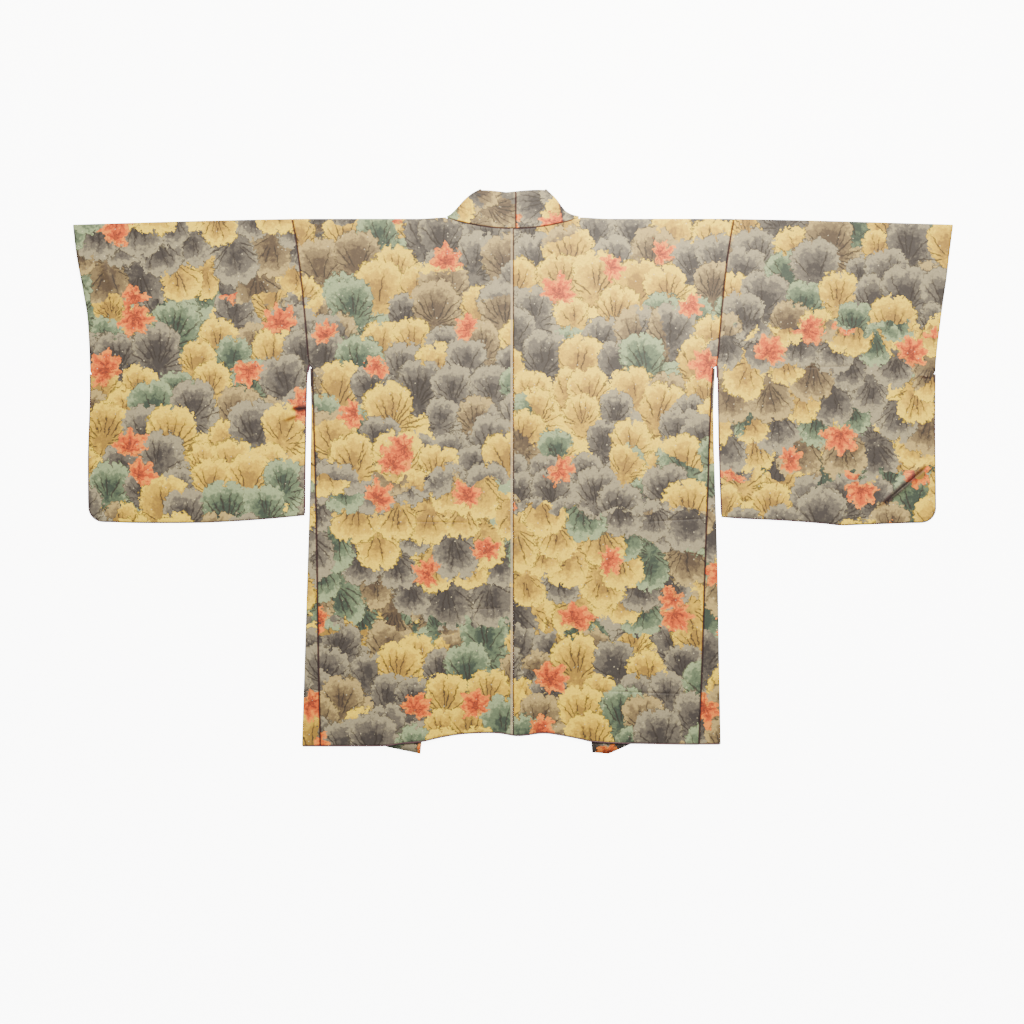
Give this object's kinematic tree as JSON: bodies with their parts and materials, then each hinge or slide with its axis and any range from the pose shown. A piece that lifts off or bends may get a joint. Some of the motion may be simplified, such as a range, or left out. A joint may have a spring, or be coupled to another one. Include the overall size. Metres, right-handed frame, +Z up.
{
  "type": "haori jacket",
  "caption": "Hip-length lined silk haori jacket laid out flat, back up, with square sleeves and a folded collar band.",
  "frame": {"origin": "centre of the laid-out jacket's footprint, on the surface that it lies on", "axes": "+Y towards the collar, +X towards the wearer's right sleeve, +Z up, out of the back panel"},
  "size_m": [1.279, 0.8216, 0.0053],
  "materials": {
    "printed_silk_body": "ribbed silk with a leaf print in ochre, grey, green, taupe and coral, on a plum lining",
    "printed_silk_sleeves": "ribbed silk with a leaf print in ochre, grey, green, taupe and coral, on a plum lining",
    "printed_silk_gussets": "ribbed silk with a leaf print in grey, green and ochre, on a plum lining",
    "printed_silk_collar": "ribbed silk with a leaf print, doubled over a core"
  },
  "bodies": {
    "root": {"body_left": "printed_silk_body", "body_right": "printed_silk_body", "sleeve_left": "printed_silk_sleeves", "sleeve_right": "printed_silk_sleeves", "gusset_left": "printed_silk_gussets", "gusset_right": "printed_silk_gussets", "collar_left": "printed_silk_collar", "collar_right": "printed_silk_collar"}
  },
  "joints": []
}
